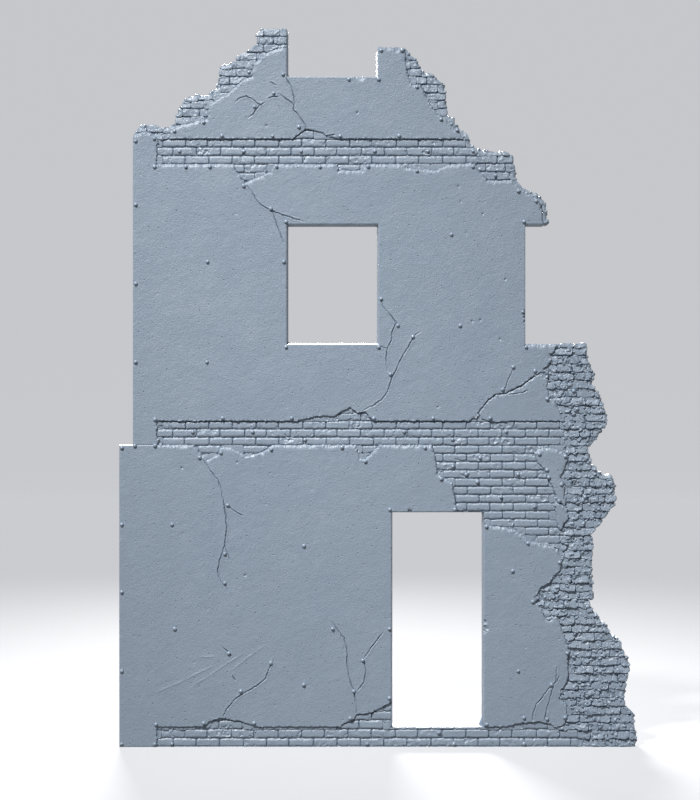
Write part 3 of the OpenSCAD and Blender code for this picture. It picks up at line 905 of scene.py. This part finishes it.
def pip(shell, solid, luck):
    """One round pip in the place of a CAD pip, whose points are given as solid."""
    around, rows = 22, 6
    angles = np.arange(around) * 2 * math.pi / around
    low, high = solid.min(axis=0), solid.max(axis=0)
    middle = (low + high)[[0, 2]] / 2
    seat = BED - high[1]
    radius = (high[0] - low[0]) / 2 * luck.uniform(0.92, 1.08)
    rise = (high[1] - low[1]) * luck.uniform(1.0, 1.2)
    lean = luck.uniform(-0.07, 0.07, 2)
    rings = []
    for row in range(rows + 1):
        turn = row / rows * math.pi / 2
        spread = radius * (math.sin(turn) ** 0.95 if row else 0.1)
        wavy = 1 + 0.035 * np.sin(angles * 3 + luck.uniform(0, 6))
        ring = np.stack([np.cos(angles) * spread * wavy, np.sin(angles) * spread * wavy], axis=1)
        ring = middle + lean * math.cos(turn) + ring
        rings.append((ring, seat + rise * math.cos(turn) if row < rows else seat))
    rings.append((ring + (ring - middle) * 0.12, seat - 0.2))
    shell.dome(rings)


def pips(name, material):
    """Round pips where the moulding's vents were, each a little different."""
    shell = Shell()
    luck = np.random.RandomState(ord(name[5]))
    points, triangles = welded(name)
    label = groups(len(points), triangles)
    for solid in sorted(set(label)):
        pip(shell, points[label == solid], luck)
    return shell.object(name, [name], material, 60)


def flash(material):
    """Thin torn webs left in corners of the openings."""
    shell = Shell()
    for loops in outlines("corner_flash"):
        loop = divided(loops[0], 0.25)
        base = BED - level("corner_flash")
        middle = loop.mean(axis=0)
        torn = nearest(loop, CUT)[0] > 0.05
        pull = (middle - loop) * (0.12 + 0.25 * np.abs(roughly(loop, 0.6, 2, 51.0)))[:, None]
        rim = loop + np.where(torn[:, None], pull, 0)
        points, triangles, (edge,) = filled([rim], np.array([middle]))
        front = shell.add(points, base - 0.06 + 0.05 * roughly(points, 0.8, 2, 53.0))
        back = shell.add(points, base - 0.42)
        shell.faces.extend(front[triangles].tolist())
        shell.faces.extend(back[triangles][:, ::-1].tolist())
        shell.skirt(front[edge], back[edge])
    return shell.object("corner_flash", ["corner_flash"], material, 40)


# ---- Materials ----

def linear(r, g, b):
    """An sRGB colour, 0 to 255, as the linear colour that a shader takes."""
    def one(v):
        v /= 255
        return v / 12.92 if v < 0.04045 else ((v + 0.055) / 1.055) ** 2.4
    return one(r), one(g), one(b), 1


def plastic(name, colour, roughness, grain, speckle, streak):
    """Unpainted moulded plastic with cloudy colour and roughness, and with grain, pocks, pits and
    faint drag marks in the bump. grain and streak are depths in metres, and speckle is how much
    the grain darkens the colour."""
    material = bpy.data.materials.new(name)
    material.use_nodes = True
    nodes, links = material.node_tree.nodes, material.node_tree.links
    nodes.clear()

    def node(kind, **inputs):
        """A new shader node, with its inputs set to numbers or linked to sockets."""
        made = nodes.new("ShaderNode" + kind)
        for key, value in inputs.items():
            socket = made.inputs[key.replace("_", " ")]
            if isinstance(value, bpy.types.NodeSocket):
                links.new(value, socket)
            else:
                socket.default_value = value
        return made

    where = node("TexCoord").outputs["Object"]

    def clouds(size, detail, space=where):
        """Noise with features of about that size in metres."""
        return node("TexNoise", Vector=space, Scale=1 / size, Detail=detail, Roughness=0.6).outputs["Fac"]

    def between(value, low, high, to_low, to_high):
        """value carried from low..high to to_low..to_high, and clamped."""
        made = node("MapRange", Value=value, From_Min=low, From_Max=high, To_Min=to_low, To_Max=to_high)
        return made.outputs["Result"]

    def tinted(base, factor, tint):
        """base, a colour or a socket, multiplied by tint as far as factor says."""
        mix = nodes.new("ShaderNodeMix")
        mix.data_type = "RGBA"
        mix.blend_type = "MULTIPLY"
        # The node's colour sockets can only be told apart by number
        first, second, result = mix.inputs[6], mix.inputs[7], mix.outputs[2]
        links.new(factor, mix.inputs["Factor"])
        if isinstance(base, tuple):
            first.default_value = base
        else:
            links.new(base, first)
        second.default_value = tint
        return result

    def scattered(spacing, radius):
        """1 all over, but falling to 0 in scattered round spots."""
        cells = node("TexVoronoi", Vector=where, Scale=1 / spacing)
        spot = between(cells.outputs["Distance"], 0, radius / spacing, 0, 1)
        chance = node("SeparateColor", Color=cells.outputs["Color"]).outputs["Red"]
        larger = nodes.new("ShaderNodeMath")
        larger.operation = "MAXIMUM"
        links.new(spot, larger.inputs[0])
        links.new(between(chance, 0.45, 0.75, 1, 0), larger.inputs[1])
        return larger.outputs["Value"]

    slanted = node("Mapping", Vector=where, Rotation=(0, math.radians(38), 0), Scale=(1, 1, 9))
    broad = clouds(0.045, 3)
    medium = clouds(0.0009, 3)
    patchy = clouds(0.006, 4)
    fine = clouds(0.00035, 3)
    drag = clouds(0.0012, 3, slanted.outputs["Vector"])
    colour_now = tinted(colour, between(broad, 0.35, 0.65, 0, 0.5), (0.9, 0.92, 0.95, 1))
    colour_now = tinted(colour_now, between(patchy, 0.5, 0.75, 0, 0.4), (1.12, 1.1, 1.08, 1))
    colour_now = tinted(colour_now, between(fine, 0.52, 0.75, 0, speckle), (0.72, 0.76, 0.82, 1))
    rough_now = between(patchy, 0.3, 0.7, roughness - 0.06, roughness + 0.07)

    bump = node("Bump", Strength=1, Distance=grain, Height=fine)
    for depth, height in (
        (grain * 0.45, medium), (grain * 1.6, scattered(0.0013, 0.00022)), (streak, drag)
    ):
        bump = node("Bump", Strength=1, Distance=depth, Height=height, Normal=bump.outputs["Normal"])
    shader = node(
        "BsdfPrincipled", Base_Color=colour_now, Roughness=rough_now, IOR=1.48,
        Specular_IOR_Level=0.85, Normal=bump.outputs["Normal"]
    )
    node("OutputMaterial", Surface=shader.outputs["BSDF"])
    return material


# ---- Stage, lights and camera ----

def stage():
    """A pale bowl: a flat floor that curves up far from the object on every side."""
    flat, bend, wall, around = 1.5, 0.6, 1.2, 96
    profile = [(0.0, 0.0), (0.4, 0.0), (flat, 0.0)]
    profile += [(flat + bend * math.sin(a), bend - bend * math.cos(a))
                for a in np.linspace(0, math.pi / 2, 14)[1:]]
    profile.append((flat + bend, bend + wall))
    points, faces = [(0, 0, 0)], []
    for radius, height in profile[1:]:
        points += [(radius * math.cos(t), radius * math.sin(t), height)
                   for t in np.arange(around) * 2 * math.pi / around]
    for i in range(around):
        faces.append((0, 1 + i, 1 + (i + 1) % around))
        for row in range(len(profile) - 2):
            a, b = 1 + row * around + i, 1 + row * around + (i + 1) % around
            faces.append((a, a + around, b + around, b))
    mesh = bpy.data.meshes.new("studio_floor")
    mesh.from_pydata(points, [], faces)
    mesh.shade_smooth()
    material = bpy.data.materials.new("pale_floor")
    material.use_nodes = True
    shader = material.node_tree.nodes["Principled BSDF"]
    shader.inputs["Base Color"].default_value = (0.2, 0.205, 0.21, 1)
    shader.inputs["Roughness"].default_value = 0.9
    shader.inputs["Emission Color"].default_value = (0.96, 0.97, 1, 1)
    shader.inputs["Emission Strength"].default_value = 0.48
    mesh.materials.append(material)
    floor = bpy.data.objects.new("studio_floor", mesh)
    bpy.context.scene.collection.objects.link(floor)
    # Light from the bowl would wash out the relief
    floor.visible_diffuse = False


def lamp(name, place, aim, size, watts, colour=(1, 1, 1), spread=180):
    """A soft square light at place that looks at aim."""
    data = bpy.data.lights.new(name, "AREA")
    data.shape = "SQUARE"
    data.size = size
    data.energy = watts
    data.color = colour
    data.spread = math.radians(spread)
    light = bpy.data.objects.new(name, data)
    light.location = place
    light.rotation_euler = (Vector(aim) - Vector(place)).to_track_quat("-Z", "Y").to_euler()
    bpy.context.scene.collection.objects.link(light)


def lights():
    """One key from above, left and in front, small enough to model the relief, with a weak fill
    from the right and from the room, and a lamp for the back."""
    lo, hi = CAD_BOX
    middle = (lo + hi) / 2
    cool = (1.0, 0.99, 0.985)
    aim = middle - Vector((0, 0, 0.05))
    lamp("key", middle + Vector((-0.34, -0.6, 0.82)), aim, 0.12, 0.47, cool, 33)
    lamp("fill", middle + Vector((0.75, -0.7, 0.15)), middle, 0.6, 0.25, cool)
    lamp("back", middle + Vector((-0.1, 0.95, 0.35)), middle, 0.3, 1.1, cool, 40)
    world = bpy.data.worlds.new("studio")
    world.use_nodes = True
    background = world.node_tree.nodes["Background"]
    background.inputs["Color"].default_value = (0.97, 0.985, 1, 1)
    background.inputs["Strength"].default_value = 0.15
    scene = bpy.context.scene
    scene.world = world
    scene.view_settings.view_transform = "Standard"
    scene.view_settings.look = "Medium High Contrast"


def camera():
    """Square on to the plastered face, aimed a little left of and below the panel's middle."""
    data = bpy.data.cameras.new("camera")
    data.lens = 96
    data.sensor_width = 36
    left, distance, up = 0.0077, 0.597, 0.097
    seen = bpy.data.objects.new("camera", data)
    seen.location = (-left, BED * MM - distance, up)
    seen.rotation_euler = (math.pi / 2, 0, 0)
    bpy.context.scene.collection.objects.link(seen)
    bpy.context.scene.camera = seen


# ---- Building ----

camera()
lights()
stage()

core_plastic = plastic(
    "core_plastic", linear(140, 153, 167), roughness=0.5, grain=0.00005, speckle=0.3, streak=0.00003
)
brick_plastic = plastic(
    "brick_plastic", linear(146, 159, 173), roughness=0.36, grain=0.0001, speckle=0.3, streak=0.00004
)
plaster_plastic = plastic(
    "plaster_plastic", linear(147, 160, 174), roughness=0.4, grain=0.00012, speckle=0.25, streak=0.00002
)
pip_plastic = plastic(
    "pip_plastic", linear(150, 164, 179), roughness=0.26, grain=0.00002, speckle=0.1, streak=0.00002
)

SKINS = {name: outlines(name)[0] for name in CRACKS}
BRICKWORK = {
    "bricks_band_top": (LAID, []),
    "bricks_band_middle": (LAID, []),
    "bricks_band_base": (LAID, []),
    "bricks_patch": (LAID, []),
    "bricks_parapet_left": (WORN, ["ends_parapet_left"]),
    "bricks_parapet_right": (WORN, ["ends_parapet_right"]),
    "bricks_shoulder": (WORN, ["ends_shoulder"]),
    "bricks_edge_upper": (BROKEN, ["ends_upper"]),
    "bricks_edge_middle": (BROKEN, ["ends_middle"]),
    "bricks_edge_lower": (BROKEN, ["ends_lower"]),
}
ALL_FACES = [loops[0] for name in BRICKWORK for loops in outlines(name)]
ALL_ENDS = [loops[0] for _, ends in BRICKWORK.values() for node in ends for loops in outlines(node)]

core(core_plastic)
for name, (look, ends) in BRICKWORK.items():
    brickwork(name, look, ends, brick_plastic)
for name in SKINS:
    plaster(name, plaster_plastic)
for name in ("pips_parapet", "pips_first_floor", "pips_ground_floor"):
    pips(name, pip_plastic)
flash(pip_plastic)
